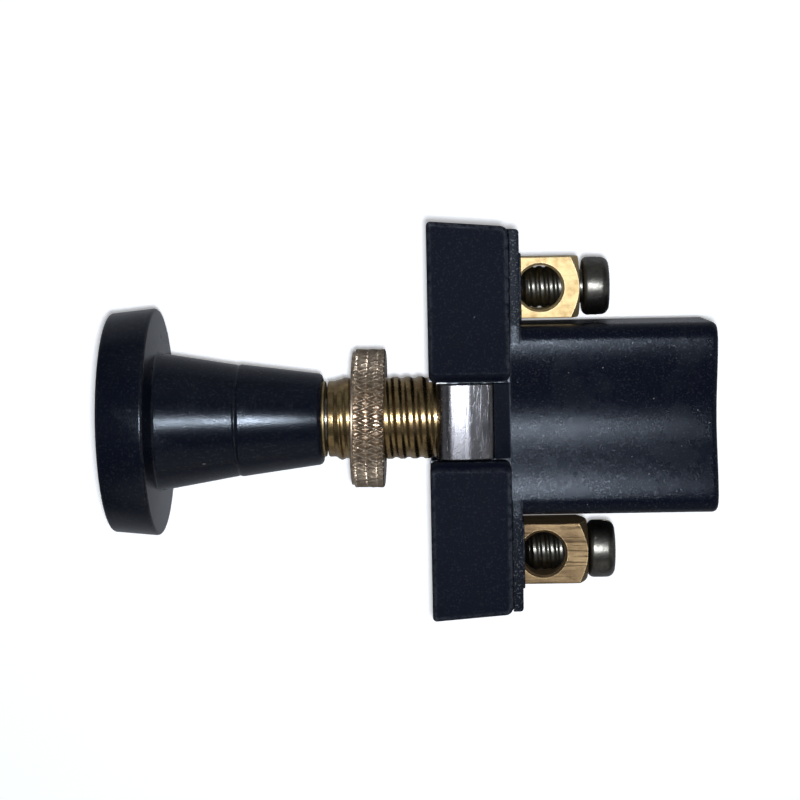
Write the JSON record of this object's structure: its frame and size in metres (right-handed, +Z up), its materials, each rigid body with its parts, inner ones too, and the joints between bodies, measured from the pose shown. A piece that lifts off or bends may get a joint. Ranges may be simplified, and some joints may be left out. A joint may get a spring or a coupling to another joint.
{
  "type": "panel pull switch",
  "caption": "Panel-mounted pull switch: round knob on a sliding rod, threaded bush with knurled nut, T-shaped insulating body and screw terminals behind.",
  "frame": {"origin": "on the bush's axis, in the plane where the body's two front shoulders seat on the back of the panel", "axes": "+X runs from the knob along the bush into the body, +Y to the left terminal as seen from the knob, +Z up across the body"},
  "size_m": [0.0726, 0.0474, 0.0276],
  "materials": {
    "knob_plastic": "glossy black phenolic, fine flow specks",
    "housing_plastic": "black phenolic, semi-gloss with mineral specks",
    "turned_brass": "turned brass, browned",
    "nut_brass": "knurled brass, dull tan",
    "terminal_brass": "sawn and drawn brass bar",
    "contact_brass": "rolled brass strip",
    "contact_silver": "silver-faced contact",
    "nickel_steel": "nickel-plated steel strip, scratched",
    "bright_steel": "bright drawn steel",
    "spring_steel": "spring steel",
    "dark_screw_steel": "dark passivated zinc, worn at the edges",
    "brown_insulator": "brown phenolic",
    "fibre": "red-brown vulcanised fibre"
  },
  "bodies": {
    "housing": {"bush": "turned_brass", "strap": "nickel_steel", "front_housing": "housing_plastic", "rear_housing": "housing_plastic", "stop_washer": "fibre", "detent_spring": "spring_steel", "contact_finger_left": "contact_brass", "contact_finger_right": "contact_brass", "contact_tip_left": "contact_silver", "contact_tip_right": "contact_silver", "terminal_block_left": "terminal_brass", "terminal_block_right": "terminal_brass"},
    "plunger": {"knob": "knob_plastic", "knob_insert": "turned_brass", "plunger_rod": "bright_steel", "contact_carrier": "brown_insulator", "contact_ring": "contact_brass", "rod_washer": "bright_steel", "rod_clip": "spring_steel"},
    "nut": {"panel_nut": "nut_brass"},
    "screw_left": {"terminal_screw_left": "dark_screw_steel"},
    "screw_right": {"terminal_screw_right": "dark_screw_steel"}
  },
  "joints": [
    {"name": "plunger_pull", "type": "slide", "parent": "housing", "child": "plunger", "axis": [-1, 0, 0], "range_m": [0, 0.0092]},
    {"name": "nut_travel", "type": "slide", "parent": "housing", "child": "nut", "axis": [1, 0, 0], "range_m": [-0.0025, 0.0045]},
    {"name": "screw_travel_left", "type": "slide", "parent": "housing", "child": "screw_left", "axis": [1, 0, 0], "range_m": [-0.00035, 0.005]},
    {"name": "screw_travel_right", "type": "slide", "parent": "housing", "child": "screw_right", "axis": [1, 0, 0], "range_m": [-0.00005, 0.005]}
  ]
}
